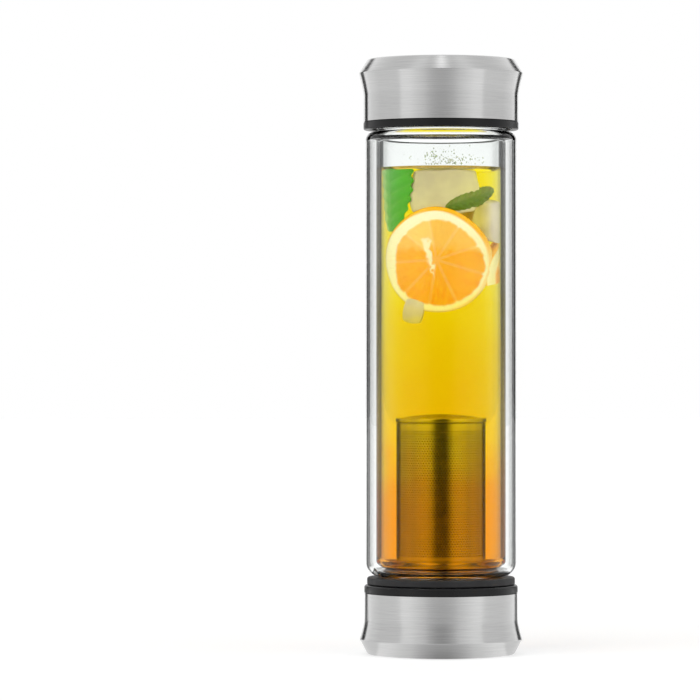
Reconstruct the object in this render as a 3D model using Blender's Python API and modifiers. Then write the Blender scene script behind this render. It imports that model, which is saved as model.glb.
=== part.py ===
"""Double-walled glass tea bottle with a steel screw cap at each end and a perforated infuser.

The bottle stands on its base cap at z = 0. The glass screws down into the base cap, the top cap screws
onto the upper neck, and the infuser stands upside down on a spigot inside the base cap and reaches up
into the bore. Everything is turned about the Z axis, apart from the perforations and the vent.
Lengths are in metres.
"""

import math

import bmesh
import bpy
from mathutils import Matrix, Vector

MM = 0.001

# Shared by all pieces
TURN_STEPS = 32
ARC_STEPS = 3
FIT_GAP = 0.3 * MM
THREAD_ROOM = 2.0 * MM
MOULD_WALL = 2.2 * MM
MOULD_ROUND = 0.6 * MM
CUT_OVERRUN = 1.0 * MM
MERGE_WITHIN = 0.01 * MM
SHARP_EDGE = math.radians(35)

# Glass body, measured from the underside of its lower shoulder
GLASS_RADIUS = 31.7 * MM
GLASS_HEIGHT = 186.7 * MM
OUTER_WALL = 1.7 * MM
AIR_GAP = 2.8 * MM
INNER_WALL = 2.7 * MM
BORE_RADIUS = GLASS_RADIUS - OUTER_WALL - AIR_GAP - INNER_WALL
SHOULDER_THICKNESS = 2.5 * MM
UPPER_CORNER = 3.2 * MM
LOWER_CORNER = 5.9 * MM
TOP_NECK_HEIGHT = 18.1 * MM
LOWER_NECK_HEIGHT = 14.7 * MM
LOWER_NECK_STEP = 4.5 * MM
LOWER_NECK_BORE = BORE_RADIUS - LOWER_NECK_STEP
LOWER_NECK_WALL = 3.0 * MM
LIP_ROUND = 0.8 * MM
VENT_RADIUS = 1.6 * MM
VENT_AZIMUTH = math.radians(203.7)
VENT_SLOPE = math.radians(-45)
PLUG_CROWN = 0.3 * MM

# Steel sheet shells of the two caps
SHELL_SHEET = 0.6 * MM
FACE_ROUND = 1.0 * MM
FLARE_POWER = 1.3
FLARE_STEPS = 3
TOP_STEP = 0.9 * MM
TOP_FLARE = 2.0 * MM
TOP_CHAMFER = 3.7 * MM
TOP_SHELL_RADIUS = GLASS_RADIUS + TOP_STEP
TOP_SHELL_HEIGHT = 26.2 * MM
TOP_FLARE_RADIUS = TOP_SHELL_RADIUS + TOP_FLARE
TOP_FACE_RADIUS = TOP_FLARE_RADIUS - TOP_CHAMFER
TOP_CREASE_DEPTH = 5.9 * MM
TOP_FLARE_LENGTH = 9.3 * MM
BASE_STEP = 0.6 * MM
BASE_FLARE = 2.0 * MM
BASE_CHAMFER = 3.4 * MM
BASE_SHELL_RADIUS = GLASS_RADIUS + BASE_STEP
BASE_SHELL_HEIGHT = 25.6 * MM
BASE_FLARE_RADIUS = BASE_SHELL_RADIUS + BASE_FLARE
BASE_FACE_RADIUS = BASE_FLARE_RADIUS - BASE_CHAMFER
BASE_CREASE_DEPTH = 6.3 * MM
BASE_FLARE_LENGTH = 8.7 * MM

# Moulded insert, seal and liner of the top cap
TOP_CAP_CLEARANCE = 1.0 * MM
TOP_FLANGE = 3.1 * MM
TOP_SEAL_THICKNESS = 2.0 * MM
TOP_SEAL_WIDTH = 4.4 * MM
LINER_SHEET = 0.5 * MM
ROOF_RIB_INSET = 2.3 * MM
ROOF_RIB_RADIUS = BORE_RADIUS - ROOF_RIB_INSET

# Moulded insert, seals and liner of the base cap
BASE_FLANGE = 3.2 * MM
SKIRT_HEIGHT = 6.9 * MM
GASKET_THICKNESS = 3.0 * MM
GASKET_INSET = 0.6 * MM
GASKET_RADIUS = GLASS_RADIUS - GASKET_INSET
GASKET_BORE = LOWER_NECK_BORE + LOWER_NECK_WALL + THREAD_ROOM - FIT_GAP
GASKET_ROUND = 0.9 * MM
LIP_SEAL_THICKNESS = 2.0 * MM
LIP_SEAL_LEG = 1.0 * MM
LIP_SEAL_HEIGHT = 4.0 * MM
SLOT_DROP = 3.4 * MM
PAN_DROP = 2.2 * MM
SPIGOT_HEIGHT = 14.0 * MM
SPIGOT_WALL = 1.6 * MM

# Infuser, measured up from the foot of its collar
NECK_CLEARANCE = 0.7 * MM
INFUSER_SHEET = 0.5 * MM
COLLAR_SHEET = 0.8 * MM
INFUSER_RADIUS = LOWER_NECK_BORE - NECK_CLEARANCE - COLLAR_SHEET - FIT_GAP
COLLAR_ROUND = 0.5 * MM
COLLAR_FOOT = 1.2 * MM
SHELF_LEVEL = 20.1 * MM
SHELF_THICKNESS = 1.0 * MM
SHELF_WIDTH = 0.8 * MM
COLLAR_CUP = 4.6 * MM
COLLAR_HEIGHT = SHELF_LEVEL + SHELF_THICKNESS + COLLAR_CUP
TUBE_HEIGHT = 63.5 * MM
PLAIN_BAND_BELOW = 8.1 * MM
PLAIN_BAND_ABOVE = 2.9 * MM
ROW_PITCH = 5.9 * MM
HOLE_RADIUS = 1.05 * MM
HOLE_SIDES = 6
END_BEAD = 0.3 * MM
END_RIM_HEIGHT = 1.9 * MM
END_SKIRT_HEIGHT = 2.0 * MM
END_DOME_RISE = 1.6 * MM
END_RING_PITCH = 5.2 * MM
GRIP_RING_HEIGHT = 2.5 * MM
GRIP_RING_LEVEL = 9.7 * MM


def finish_of(name, colour, metallic, roughness, transmission=0.0, ior=1.45):
    """A Principled material for one kind of finish."""
    made = bpy.data.materials.new(name)
    made.use_nodes = True
    shader = made.node_tree.nodes["Principled BSDF"]
    shader.inputs["Base Color"].default_value = (*colour, 1)
    shader.inputs["Metallic"].default_value = metallic
    shader.inputs["Roughness"].default_value = roughness
    shader.inputs["Transmission Weight"].default_value = transmission
    shader.inputs["IOR"].default_value = ior
    return made


def new_collection(name, hidden=False):
    made = bpy.data.collections.new(name)
    made.hide_render = hidden
    bpy.context.scene.collection.children.link(made)
    return made


def datum(name, height, parent=None):
    """An empty on the Z axis that carries one group of pieces. Height is above the floor."""
    made = bpy.data.objects.new(name, None)
    made.empty_display_size = GLASS_RADIUS
    made.location.z = height
    PARTS.objects.link(made)
    if parent:
        made.parent = parent
        made.matrix_parent_inverse = Matrix.Translation((0, 0, -parent["height"]))
    made["height"] = height
    return made


def arc(centre_r, centre_z, radius, start, end, steps=ARC_STEPS):
    """Outline points on an arc, with its angles in degrees from the outward direction."""
    turns = [math.radians(start + (end - start) * step / steps) for step in range(steps + 1)]
    return [(centre_r + radius * math.cos(turn), centre_z + radius * math.sin(turn)) for turn in turns]


def settle(piece):
    """Replaces a piece's modifiers by the mesh that they make, and shades it."""
    bpy.context.view_layer.update()
    graph = bpy.context.evaluated_depsgraph_get()
    mesh = bpy.data.meshes.new_from_object(piece.evaluated_get(graph))
    mesh.name = piece.name
    piece.modifiers.clear()
    piece.data = mesh
    mesh.shade_smooth()
    mesh.set_sharp_from_angle(angle=SHARP_EDGE)
    return piece


def turned(name, outline, carrier, finish, closed=False, sheet=0.0, group=None):
    """Turns an outline of (radius, height) points about Z. The outline runs down its outer side.

    A closed outline makes a ring. With a sheet thickness, an open outline is the outer face of a
    pressing, and the sheet lies inside it.
    """
    mesh = bpy.data.meshes.new(name)
    count = len(outline)
    joins = [(i, (i + 1) % count) for i in range(count if closed else count - 1)]
    mesh.from_pydata([(radius, 0, height) for radius, height in outline], joins, [])
    piece = bpy.data.objects.new(name, mesh)
    (group or PARTS).objects.link(piece)
    piece.parent = carrier
    turn = piece.modifiers.new("turn", "SCREW")
    turn.steps = TURN_STEPS
    turn.render_steps = TURN_STEPS
    turn.use_merge_vertices = True
    turn.merge_threshold = MERGE_WITHIN
    if sheet:
        wall = piece.modifiers.new("sheet", "SOLIDIFY")
        wall.thickness = sheet
        wall.offset = -1
        wall.use_even_offset = True
    settle(piece)
    piece.data.materials.append(finish)
    return piece


def cut(piece, cutter):
    cutter.hide_render = True
    cutter.display_type = "WIRE"
    trim = piece.modifiers.new("cut " + cutter.name, "BOOLEAN")
    trim.operation = "DIFFERENCE"
    trim.object = cutter
    settle(piece)


def pins(name, places, radius, depth, sides, carrier):
    """A cutter of many short pins, one at each place, which is a matrix whose Z is the pin's axis."""
    shape = bmesh.new()
    for place in places:
        bmesh.ops.create_cone(
            shape, cap_ends=True, segments=sides, radius1=radius, radius2=radius, depth=depth, matrix=place
        )
    mesh = bpy.data.meshes.new(name)
    shape.to_mesh(mesh)
    shape.free()
    made = bpy.data.objects.new(name, mesh)
    CUTTERS.objects.link(made)
    made.parent = carrier
    return made


def shell_outline(radius, height, face_radius, flare_radius, crease_depth, flare_length):
    """Outer face of a cap's pressing, from the middle of its end face to its open edge at height 0.

    The end face is flat, a straight chamfer widens from it to a crease, and the side draws in from the
    crease to a plain cylinder.
    """
    chamfer = Vector((flare_radius - face_radius, -crease_depth)).normalized()
    crease = height - crease_depth
    points = [(0, height), (face_radius - FACE_ROUND, height)]
    points.append((face_radius + FACE_ROUND * chamfer.x, height + FACE_ROUND * chamfer.y))
    for step in range(FLARE_STEPS + 1):
        along = step / FLARE_STEPS
        swell = (flare_radius - radius) * (1 - along) ** FLARE_POWER
        points.append((radius + swell, crease - flare_length * along))
    points.append((radius, 0))
    return points


for old in list(bpy.data.objects):
    bpy.data.objects.remove(old, do_unlink=True)

PARTS = new_collection("glass_tea_infuser_bottle")
CUTTERS = new_collection("cutters", hidden=True)

STEEL = finish_of("brushed_steel", (0.66, 0.66, 0.65), metallic=1.0, roughness=0.34)
BASKET_STEEL = finish_of("basket_steel", (0.60, 0.59, 0.56), metallic=1.0, roughness=0.28)
BLACK_PLASTIC = finish_of("black_plastic", (0.02, 0.02, 0.022), metallic=0.0, roughness=0.38)
BLACK_SILICONE = finish_of("black_silicone", (0.03, 0.03, 0.032), metallic=0.0, roughness=0.6)
CLEAR_SILICONE = finish_of("clear_silicone", (0.86, 0.88, 0.87), 0.0, 0.3, transmission=0.6, ior=1.41)
GLASS = finish_of("clear_glass", (0.97, 0.99, 0.98), 0.0, 0.02, transmission=1.0, ior=1.47)

# Heights above the floor that stack one piece on another
base_flange_under = BASE_SHELL_HEIGHT + FIT_GAP
base_flange_top = base_flange_under + BASE_FLANGE
gasket_under = base_flange_top + FIT_GAP
glass_level = gasket_under + GASKET_THICKNESS + FIT_GAP
lip_seal_under = glass_level - LOWER_NECK_HEIGHT - FIT_GAP - LIP_SEAL_THICKNESS
seal_ledge = lip_seal_under - FIT_GAP
slot_floor = seal_ledge - SLOT_DROP
pan_floor = slot_floor - PAN_DROP
infuser_level = slot_floor + FIT_GAP
top_cap_level = glass_level + GLASS_HEIGHT + TOP_CAP_CLEARANCE

base_carrier = datum("base_cap_datum", 0)
infuser_carrier = datum("infuser_datum", infuser_level, base_carrier)
glass_carrier = datum("glass_datum", glass_level, base_carrier)
top_carrier = datum("top_cap_datum", top_cap_level, glass_carrier)

# Radii that seat one piece in another
lower_neck_radius = LOWER_NECK_BORE + LOWER_NECK_WALL
tube_radius = BORE_RADIUS + INNER_WALL
base_well = lower_neck_radius + THREAD_ROOM
top_well = tube_radius + THREAD_ROOM
collar_bore = INFUSER_RADIUS + FIT_GAP
collar_radius = collar_bore + COLLAR_SHEET
shelf_bore = collar_bore - SHELF_WIDTH
spigot_radius = shelf_bore - FIT_GAP - FIT_GAP
spigot_bore = spigot_radius - SPIGOT_WALL
slot_radius = LOWER_NECK_BORE - FIT_GAP


def make_glass():
    """Outer wall, inner tube and both necks are one fused piece of glass, hollow between the walls."""
    flat = GLASS_RADIUS - LOWER_CORNER
    inner_corner = BORE_RADIUS - LOWER_NECK_BORE
    bore_floor = SHOULDER_THICKNESS + OUTER_WALL
    corner_z = bore_floor + inner_corner
    lip = GLASS_HEIGHT + TOP_NECK_HEIGHT
    foot = -LOWER_NECK_HEIGHT
    outline = [(BORE_RADIUS + LIP_ROUND, lip), (tube_radius - LIP_ROUND, lip), (tube_radius, lip - LIP_ROUND)]
    outline += [(tube_radius, GLASS_HEIGHT)]
    outline += arc(GLASS_RADIUS - UPPER_CORNER, GLASS_HEIGHT - UPPER_CORNER, UPPER_CORNER, 90, 0)
    outline += arc(flat, LOWER_CORNER, LOWER_CORNER, 0, -90)
    outline += [(lower_neck_radius, 0), (lower_neck_radius, foot + LIP_ROUND)]
    outline += [(lower_neck_radius - LIP_ROUND, foot), (LOWER_NECK_BORE + LIP_ROUND, foot)]
    outline += [(LOWER_NECK_BORE, foot + LIP_ROUND)]
    outline += arc(LOWER_NECK_BORE, corner_z, inner_corner, -90, 0)
    outline += [(BORE_RADIUS, lip - LIP_ROUND)]
    body = turned("glass_body", outline, glass_carrier, GLASS, closed=True)

    half_gap = AIR_GAP / 2
    void_top = GLASS_HEIGHT - SHOULDER_THICKNESS - half_gap
    void_corner = LOWER_CORNER - OUTER_WALL
    inner_arc = inner_corner + INNER_WALL
    # The inner arc stops on the floor of the gap, or at its own lowest point if that is higher
    inner_end = -math.degrees(math.asin(min(1, (corner_z - OUTER_WALL) / inner_arc)))
    void = arc(tube_radius + half_gap, void_top, half_gap, 180, 0)
    void += arc(flat, LOWER_CORNER, void_corner, 0, -90)
    void += arc(LOWER_NECK_BORE, corner_z, inner_arc, inner_end, 0)
    hollow = turned("air_gap_cutter", void, glass_carrier, GLASS, closed=True, group=CUTTERS)
    cut(body, hollow)

    out = Vector((math.cos(VENT_AZIMUTH), math.sin(VENT_AZIMUTH), 0))
    way = out * math.cos(VENT_SLOPE) + Vector((0, 0, math.sin(VENT_SLOPE)))
    turn = way.to_track_quat("Z", "Y").to_matrix().to_4x4()
    corner = out * flat + Vector((0, 0, LOWER_CORNER))
    mid_wall = corner + way * (void_corner + OUTER_WALL / 2)
    bore = pins(
        "vent_cutter",
        [Matrix.Translation(mid_wall) @ turn],
        VENT_RADIUS,
        OUTER_WALL + 2 * CUT_OVERRUN,
        TURN_STEPS // 2,
        glass_carrier,
    )
    cut(body, bore)

    plug_radius = VENT_RADIUS - FIT_GAP
    plug_outline = [(0, OUTER_WALL + PLUG_CROWN), (plug_radius - PLUG_CROWN, OUTER_WALL + PLUG_CROWN)]
    plug_outline += [(plug_radius, OUTER_WALL), (plug_radius, 0), (0, 0)]
    plug = turned("vent_plug", plug_outline, glass_carrier, CLEAR_SILICONE)
    plug.matrix_local = Matrix.Translation(corner + way * void_corner) @ turn


def make_base_cap():
    """A steel cup, a black insert with the thread well, and a socket snapped into it from below.

    The socket has the slot that the infuser's collar stands in, and the spigot inside the collar.
    """
    outline = shell_outline(
        BASE_SHELL_RADIUS,
        BASE_SHELL_HEIGHT,
        BASE_FACE_RADIUS,
        BASE_FLARE_RADIUS,
        BASE_CREASE_DEPTH,
        BASE_FLARE_LENGTH,
    )
    upturned = [(radius, BASE_SHELL_HEIGHT - height) for radius, height in reversed(outline)]
    turned("base_cap_shell", upturned, base_carrier, STEEL, sheet=SHELL_SHEET)

    skirt = BASE_SHELL_RADIUS - SHELL_SHEET - FIT_GAP
    foot = SHELL_SHEET + FIT_GAP
    well_outside = base_well + MOULD_WALL
    slot_outside = slot_radius + MOULD_WALL
    pan_outside = spigot_bore + MOULD_WALL
    spigot_top = slot_floor + SPIGOT_HEIGHT
    skirt_foot = base_flange_under - SKIRT_HEIGHT
    web = base_flange_top - MOULD_WALL
    socket_hole = slot_outside + FIT_GAP
    insert = [(socket_hole, seal_ledge), (base_well, seal_ledge), (base_well, base_flange_top)]
    insert += [(BASE_SHELL_RADIUS - MOULD_ROUND, base_flange_top)]
    insert += [(BASE_SHELL_RADIUS, base_flange_top - MOULD_ROUND), (BASE_SHELL_RADIUS, base_flange_under)]
    insert += [(skirt, base_flange_under), (skirt, skirt_foot), (skirt - MOULD_WALL, skirt_foot)]
    insert += [(skirt - MOULD_WALL, web), (well_outside, web), (well_outside, foot), (base_well, foot)]
    insert += [(base_well, seal_ledge - MOULD_WALL), (socket_hole, seal_ledge - MOULD_WALL)]
    turned("base_cap_inner", insert, base_carrier, BLACK_PLASTIC, closed=True)

    rim = base_well - FIT_GAP
    rim_top = seal_ledge - MOULD_WALL - FIT_GAP
    rim_under = rim_top - MOULD_WALL
    socket = [(0, pan_floor), (spigot_bore, pan_floor), (spigot_bore, spigot_top)]
    socket += [(spigot_radius, spigot_top), (spigot_radius, slot_floor), (slot_radius, slot_floor)]
    socket += [(slot_radius, seal_ledge), (slot_outside, seal_ledge), (slot_outside, rim_top)]
    socket += [(rim, rim_top), (rim, rim_under), (slot_outside, rim_under)]
    socket += [(slot_outside, slot_floor - MOULD_WALL), (pan_outside, slot_floor - MOULD_WALL)]
    socket += [(pan_outside, pan_floor - MOULD_WALL), (0, pan_floor - MOULD_WALL)]
    turned("infuser_socket", socket, base_carrier, BLACK_PLASTIC)

    liner_under = pan_floor + FIT_GAP
    liner_radius = spigot_bore - FIT_GAP
    liner = [(0, liner_under + LINER_SHEET), (liner_radius, liner_under + LINER_SHEET)]
    liner += [(liner_radius, liner_under), (0, liner_under)]
    turned("base_cap_liner", liner, base_carrier, STEEL)


def make_base_seals():
    """The gasket lies between the glass shoulder and the flange, the lip seal clasps the lower lip."""
    under = gasket_under - glass_level
    top = under + GASKET_THICKNESS
    gasket = [(GASKET_BORE, top), (GASKET_RADIUS - GASKET_ROUND, top), (GASKET_RADIUS, top - GASKET_ROUND)]
    gasket += [(GASKET_RADIUS, under), (GASKET_BORE, under)]
    turned("base_gasket", gasket, glass_carrier, BLACK_SILICONE, closed=True)

    lip = -LOWER_NECK_HEIGHT
    seat = lip - FIT_GAP
    foot = seat - LIP_SEAL_THICKNESS
    leg_inside = lower_neck_radius + FIT_GAP
    leg_outside = leg_inside + LIP_SEAL_LEG
    seal_bore = LOWER_NECK_BORE + FIT_GAP
    clasp = [(leg_inside, lip + LIP_SEAL_HEIGHT), (leg_outside, lip + LIP_SEAL_HEIGHT), (leg_outside, foot)]
    clasp += [(seal_bore, foot), (seal_bore, seat), (leg_inside, seat)]
    turned("base_lip_seal", clasp, glass_carrier, CLEAR_SILICONE, closed=True)


def make_top_cap():
    """A steel pressing over a black threaded insert, with a seal on the lip and a disc to the drink."""
    shell_edge = TOP_FLANGE + FIT_GAP
    outline = shell_outline(
        TOP_SHELL_RADIUS,
        TOP_SHELL_HEIGHT,
        TOP_FACE_RADIUS,
        TOP_FLARE_RADIUS,
        TOP_CREASE_DEPTH,
        TOP_FLARE_LENGTH,
    )
    raised = [(radius, shell_edge + height) for radius, height in outline]
    turned("top_cap_shell", raised, top_carrier, STEEL, sheet=SHELL_SHEET)

    seal_under = TOP_NECK_HEIGHT - TOP_CAP_CLEARANCE + FIT_GAP
    roof_under = seal_under + TOP_SEAL_THICKNESS + FIT_GAP
    roof = roof_under + MOULD_WALL
    wall = TOP_SHELL_RADIUS - SHELL_SHEET - FIT_GAP
    rib_top = shell_edge + TOP_SHELL_HEIGHT - SHELL_SHEET - FIT_GAP
    rib_bore = ROOF_RIB_RADIUS - MOULD_WALL
    insert = [(0, roof), (rib_bore, roof), (rib_bore, rib_top), (ROOF_RIB_RADIUS, rib_top)]
    insert += [(ROOF_RIB_RADIUS, roof), (wall - MOULD_ROUND, roof), (wall, roof - MOULD_ROUND)]
    insert += [(wall, TOP_FLANGE), (TOP_SHELL_RADIUS, TOP_FLANGE), (TOP_SHELL_RADIUS, MOULD_ROUND)]
    insert += [(TOP_SHELL_RADIUS - MOULD_ROUND, 0), (top_well, 0), (top_well, roof_under), (0, roof_under)]
    turned("top_cap_inner", insert, top_carrier, BLACK_PLASTIC)

    seal_outside = top_well - FIT_GAP
    seal_bore = seal_outside - TOP_SEAL_WIDTH
    seal_top = seal_under + TOP_SEAL_THICKNESS
    washer = [(seal_bore, seal_top), (seal_outside, seal_top)]
    washer += [(seal_outside, seal_under), (seal_bore, seal_under)]
    turned("top_cap_seal", washer, top_carrier, CLEAR_SILICONE, closed=True)

    liner_radius = seal_bore - FIT_GAP
    liner_top = roof_under - FIT_GAP
    liner = [(0, liner_top), (liner_radius, liner_top)]
    liner += [(liner_radius, liner_top - LINER_SHEET), (0, liner_top - LINER_SHEET)]
    turned("top_cap_liner", liner, top_carrier, STEEL)


def make_infuser():
    """A perforated tube on a plain collar, closed by a perforated dome with a rolled rim."""
    shelf_top = SHELF_LEVEL + SHELF_THICKNESS
    foot_bore = spigot_radius + FIT_GAP
    collar = [(collar_bore, COLLAR_HEIGHT), (collar_radius - COLLAR_ROUND, COLLAR_HEIGHT)]
    collar += [(collar_radius, COLLAR_HEIGHT - COLLAR_ROUND), (collar_radius, 0), (foot_bore, 0)]
    collar += [(foot_bore, COLLAR_FOOT), (collar_bore, COLLAR_FOOT), (collar_bore, SHELF_LEVEL)]
    collar += [(shelf_bore, SHELF_LEVEL), (shelf_bore, shelf_top), (collar_bore, shelf_top)]
    turned("infuser_collar", collar, infuser_carrier, BASKET_STEEL, closed=True)

    tube_foot = shelf_top + FIT_GAP
    tube_top = tube_foot + TUBE_HEIGHT
    tube_bore = INFUSER_RADIUS - INFUSER_SHEET
    tube = [(tube_bore, tube_top), (INFUSER_RADIUS, tube_top), (INFUSER_RADIUS, tube_foot)]
    tube += [(tube_bore, tube_foot)]
    wall = turned("infuser_wall", tube, infuser_carrier, BASKET_STEEL, closed=True)
    mid_sheet = INFUSER_RADIUS - INFUSER_SHEET / 2
    first_row = tube_foot + PLAIN_BAND_BELOW
    rows = int((TUBE_HEIGHT - PLAIN_BAND_BELOW - PLAIN_BAND_ABOVE) / ROW_PITCH) + 1
    places = []
    for row in range(rows):
        for column in range(TURN_STEPS // 2):
            # Rows are staggered, and each hole lies in the middle of one facet of the tube
            turn = 2 * math.pi * (2 * column + row % 2 + 0.5) / TURN_STEPS
            level = Matrix.Translation((0, 0, first_row + row * ROW_PITCH))
            outward = Matrix.Rotation(turn, 4, "Z") @ Matrix.Rotation(math.pi / 2, 4, "Y")
            places.append(level @ outward @ Matrix.Translation((0, 0, mid_sheet)))
    depth = INFUSER_SHEET + 2 * CUT_OVERRUN
    cut(wall, pins("tube_holes_cutter", places, HOLE_RADIUS, depth, HOLE_SIDES, infuser_carrier))

    rim_foot = tube_top + FIT_GAP
    rim_top = rim_foot + END_RIM_HEIGHT
    bead_radius = INFUSER_RADIUS + END_BEAD
    skirt = tube_bore - FIT_GAP
    skirt_bore = skirt - INFUSER_SHEET
    dome_radius = (skirt_bore**2 + END_DOME_RISE**2) / (2 * END_DOME_RISE)
    spread = math.degrees(math.asin(skirt_bore / dome_radius))
    dome_centre = rim_top + END_DOME_RISE - dome_radius
    end = arc(0, dome_centre, dome_radius, 90, 90 - spread)
    end += [(INFUSER_RADIUS, rim_top), (bead_radius, rim_top - END_BEAD), (bead_radius, rim_foot + END_BEAD)]
    end += [(INFUSER_RADIUS, rim_foot), (skirt, rim_foot), (skirt, rim_foot - END_SKIRT_HEIGHT)]
    end += [(skirt_bore, rim_foot - END_SKIRT_HEIGHT)]
    end += arc(0, dome_centre - INFUSER_SHEET, dome_radius, 90 - spread, 90)
    cover = turned("infuser_end", end, infuser_carrier, BASKET_STEEL)
    places = [Matrix.Translation((0, 0, rim_top + END_DOME_RISE / 2))]
    for ring in range(1, int(skirt_bore / END_RING_PITCH)):
        for place in range(6 * ring):
            turn = 2 * math.pi * place / (6 * ring)
            spot = Vector((math.cos(turn), math.sin(turn), 0)) * ring * END_RING_PITCH
            spot.z = rim_top + END_DOME_RISE / 2
            places.append(Matrix.Translation(spot))
    depth = END_DOME_RISE + 2 * CUT_OVERRUN
    cut(cover, pins("end_holes_cutter", places, HOLE_RADIUS, depth, HOLE_SIDES, infuser_carrier))

    ring_top = GRIP_RING_LEVEL + GRIP_RING_HEIGHT
    grip_bore = spigot_radius + FIT_GAP
    grip_radius = collar_bore - FIT_GAP
    grip = [(grip_bore, ring_top), (grip_radius, ring_top)]
    grip += [(grip_radius, GRIP_RING_LEVEL), (grip_bore, GRIP_RING_LEVEL)]
    turned("infuser_ring", grip, infuser_carrier, CLEAR_SILICONE, closed=True)


make_base_cap()
make_base_seals()
make_glass()
make_top_cap()
make_infuser()
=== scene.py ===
"""Looks of a double-walled glass tea bottle, piece by piece in the order in which it is put together.

The pieces are turned, pressed, moulded or blown, and each one rides on the body of the frame that
carries it. Lengths are in millimetres, and they become metres where a mesh is made.
"""

import math
import random

import bmesh
import bpy
from mathutils import Matrix, Vector, noise


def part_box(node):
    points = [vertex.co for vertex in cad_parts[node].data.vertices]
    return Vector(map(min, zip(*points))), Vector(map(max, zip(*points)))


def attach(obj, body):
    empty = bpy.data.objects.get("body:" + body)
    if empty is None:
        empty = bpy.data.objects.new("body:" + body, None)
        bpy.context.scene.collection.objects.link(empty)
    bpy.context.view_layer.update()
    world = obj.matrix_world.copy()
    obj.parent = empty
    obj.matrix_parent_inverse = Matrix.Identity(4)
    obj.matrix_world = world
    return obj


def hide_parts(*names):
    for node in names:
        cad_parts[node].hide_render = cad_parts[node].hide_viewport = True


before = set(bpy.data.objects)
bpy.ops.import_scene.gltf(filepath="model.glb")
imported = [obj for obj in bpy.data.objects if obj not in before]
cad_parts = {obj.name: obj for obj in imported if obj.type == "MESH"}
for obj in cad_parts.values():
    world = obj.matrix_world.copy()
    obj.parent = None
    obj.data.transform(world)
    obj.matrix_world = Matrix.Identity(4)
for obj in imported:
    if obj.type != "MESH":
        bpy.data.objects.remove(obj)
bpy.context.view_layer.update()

MM = 0.001


# Base cap shell: the cup that the bottle stands on. Pressed from 0.6 mm stainless sheet, with a chamfer
# that widens from the foot to a crease, and brushed round the axis.
def measured(node):
    """A node's foot, top and outer radius, as the frame has them."""
    low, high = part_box(node)
    return low[2] / MM, high[2] / MM, high[0] / MM


def rounded(corners, closed=True):
    """An outline in which each corner (radius, height, rounding) with a rounding becomes an arc."""
    least_steps, step_degrees = 2, 30
    points = []
    for place, corner in enumerate(corners):
        here = Vector(corner[:2])
        rounding = corner[2] if len(corner) > 2 else 0
        if not rounding or not closed and place in (0, len(corners) - 1):
            points.append(tuple(here))
            continue
        back = (Vector(corners[place - 1][:2]) - here).normalized()
        ahead = (Vector(corners[(place + 1) % len(corners)][:2]) - here).normalized()
        half = back.angle(ahead) / 2
        centre = here + (back + ahead).normalized() * rounding / math.sin(half)
        start = here + back * rounding / math.tan(half) - centre
        sweep = start.angle_signed(here + ahead * rounding / math.tan(half) - centre)
        steps = least_steps + math.ceil(abs(math.degrees(sweep)) / step_degrees * max(1, rounding ** 0.5))
        for step in range(steps + 1):
            turn = -sweep * step / steps
            swung = (
                start.x * math.cos(turn) - start.y * math.sin(turn),
                start.x * math.sin(turn) + start.y * math.cos(turn),
            )
            points.append((centre.x + swung[0], centre.y + swung[1]))
    return points


def pressed(outside, sheet):
    """The whole outline of a pressing, from its outer face and the thickness of its sheet."""
    inside = []
    for place, point in enumerate(outside):
        before = Vector(outside[max(place - 1, 0)])
        after = Vector(outside[min(place + 1, len(outside) - 1)])
        along = (after - before).normalized()
        inside.append((max(point[0] - along.y * sheet, 0), point[1] + along.x * sheet))
    return outside + inside[::-1]


def spun(radius, turn, height):
    """A point at a radius, a turn round the axis and a height, in metres."""
    return radius * math.cos(turn) * MM, radius * math.sin(turn) * MM, height * MM


def lathe(shape, outline, steps, closed, swell=None):
    """Adds a turned outline to a mesh. Swell gives how far a point stands out, as on a screw thread."""
    on_axis = 0.001
    rings = []
    for radius, height in outline:
        if radius < on_axis:
            rings.append([shape.verts.new((0, 0, height * MM))] * steps)
            continue
        ring = []
        for step in range(steps):
            turn = 2 * math.pi * step / steps
            reach = radius + (swell(radius, height, turn) if swell else 0)
            ring.append(shape.verts.new(spun(reach, turn, height)))
        rings.append(ring)
    faces = []
    for place in range(len(rings) if closed else len(rings) - 1):
        ring, following = rings[place], rings[(place + 1) % len(rings)]
        for step in range(steps):
            beside = (step + 1) % steps
            corners = dict.fromkeys([ring[step], ring[beside], following[beside], following[step]])
            if len(corners) > 2:
                faces.append(shape.faces.new(corners))
    bmesh.ops.recalc_face_normals(shape, faces=faces)
    return faces


def piece_of(name, shape, finish, sharp=30):
    """Makes a scene object of a finished mesh, shaded smooth but for its edges."""
    mesh = bpy.data.meshes.new(name)
    shape.to_mesh(mesh)
    shape.free()
    mesh.shade_smooth()
    mesh.set_sharp_from_angle(angle=math.radians(sharp))
    mesh.materials.append(finish)
    made = bpy.data.objects.new(name, mesh)
    bpy.context.scene.collection.objects.link(made)
    return made


def turned(name, outline, finish, closed=True, steps=160, swell=None):
    shape = bmesh.new()
    lathe(shape, outline, steps, closed, swell)
    return piece_of(name, shape, finish)


def finish_of(name, colour, roughness, metallic=0.0):
    """A material for one finish, and its Principled shader."""
    made = bpy.data.materials.new(name)
    made.use_nodes = True
    shader = made.node_tree.nodes["Principled BSDF"]
    shader.inputs["Base Color"].default_value = (*colour, 1)
    shader.inputs["Roughness"].default_value = roughness
    shader.inputs["Metallic"].default_value = metallic
    return made, shader


def add(made, kind, **values):
    """Adds a node to a material and sets the node's own values."""
    node = made.node_tree.nodes.new(kind)
    for name, value in values.items():
        setattr(node, name, value)
    return node


def feed(made, source, target):
    """Gives a socket a link from another, or else a value or a colour of its own."""
    if isinstance(source, bpy.types.NodeSocket):
        made.node_tree.links.new(source, target)
    else:
        target.default_value = (*source, 1) if target.type == "RGBA" else source


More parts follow.
